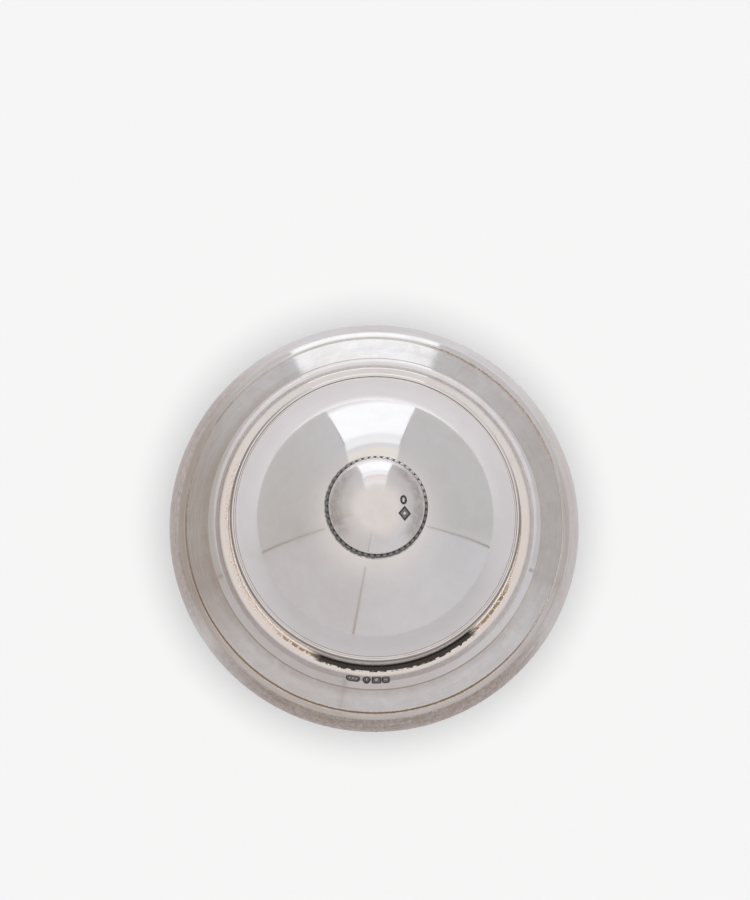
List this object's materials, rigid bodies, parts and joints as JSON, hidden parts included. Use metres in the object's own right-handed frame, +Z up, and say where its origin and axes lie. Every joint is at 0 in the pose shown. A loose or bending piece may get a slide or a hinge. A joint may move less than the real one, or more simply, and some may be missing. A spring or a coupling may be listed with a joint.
{
  "type": "covered sugar bowl",
  "caption": "Round silver sugar bowl on a low foot, with a stepped shoulder and a loose domed lid that has a beaded button knob.",
  "frame": {"origin": "centre of the foot's underside, on the surface that the bowl stands on", "axes": "+Z up along the axis of every turned piece; -Y towards the struck marks on the neck"},
  "size_m": [0.1108, 0.1108, 0.0991],
  "materials": {
    "bowl_silver": "polished silver with light tarnish",
    "foot_silver": "polished silver with light tarnish",
    "lid_silver": "polished silver",
    "knob_silver": "polished silver",
    "beaded_silver": "polished silver, blackened in the hollows",
    "fixing_silver": "satin silver"
  },
  "bodies": {
    "bowl": {"bowl_body": "bowl_silver", "girdle_wire": "bowl_silver", "shoulder_ring": "bowl_silver", "neck_ring": "bowl_silver", "lid_seat": "bowl_silver", "foot_ring": "foot_silver", "foot_wire": "foot_silver"},
    "lid": {"lid_dome": "lid_silver", "lid_band": "lid_silver", "lid_bezel": "lid_silver", "knob_cap": "knob_silver", "knob_plate": "knob_silver", "knob_beads": "beaded_silver", "knob_stud": "fixing_silver", "knob_washer": "fixing_silver", "knob_nut": "fixing_silver"}
  },
  "joints": [
    {"name": "lid_lift", "type": "slide", "parent": "bowl", "child": "lid", "axis": [0, 0, 1], "range_m": [0, 0.08]}
  ]
}
